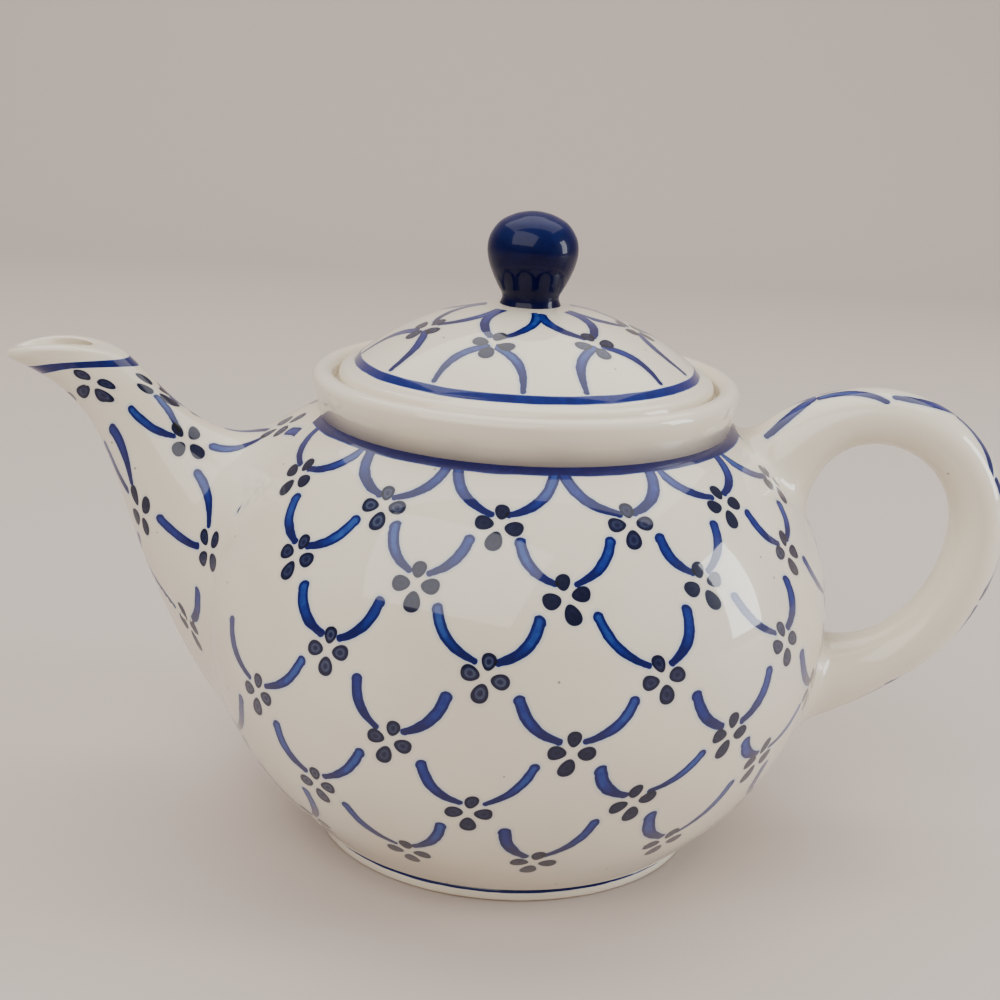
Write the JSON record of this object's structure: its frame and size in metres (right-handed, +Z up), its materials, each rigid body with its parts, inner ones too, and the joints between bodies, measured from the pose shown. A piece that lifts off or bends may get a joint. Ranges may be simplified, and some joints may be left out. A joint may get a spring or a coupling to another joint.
{
  "type": "teapot",
  "caption": "Round-bellied glazed stoneware teapot with a bent beaked spout, an ear handle and a domed lid that lifts out of a raised collar.",
  "frame": {"origin": "on the pot's axis, on the plane that the foot ring stands on", "axes": "+Z up along the pot's axis, +X towards the handle, -X towards the spout"},
  "size_m": [0.2461, 0.152, 0.1533],
  "materials": {
    "cream_glaze": "gloss cream glaze over stoneware, brush pattern in cobalt blue, bare clay under the foot",
    "cobalt_glaze": "gloss deep cobalt glaze, thinner and greyer at the edges"
  },
  "bodies": {
    "pot": {"pot_body": "cream_glaze", "foot_ring": "cream_glaze", "collar_ring": "cream_glaze", "spout": "cream_glaze", "handle": "cream_glaze"},
    "lid": {"lid": "cream_glaze", "lid_flange": "cream_glaze", "knob": "cobalt_glaze"}
  },
  "joints": [
    {"name": "lid_lift", "type": "slide", "parent": "pot", "child": "lid", "axis": [0, 0, 1], "range_m": [0, 0.08]}
  ]
}
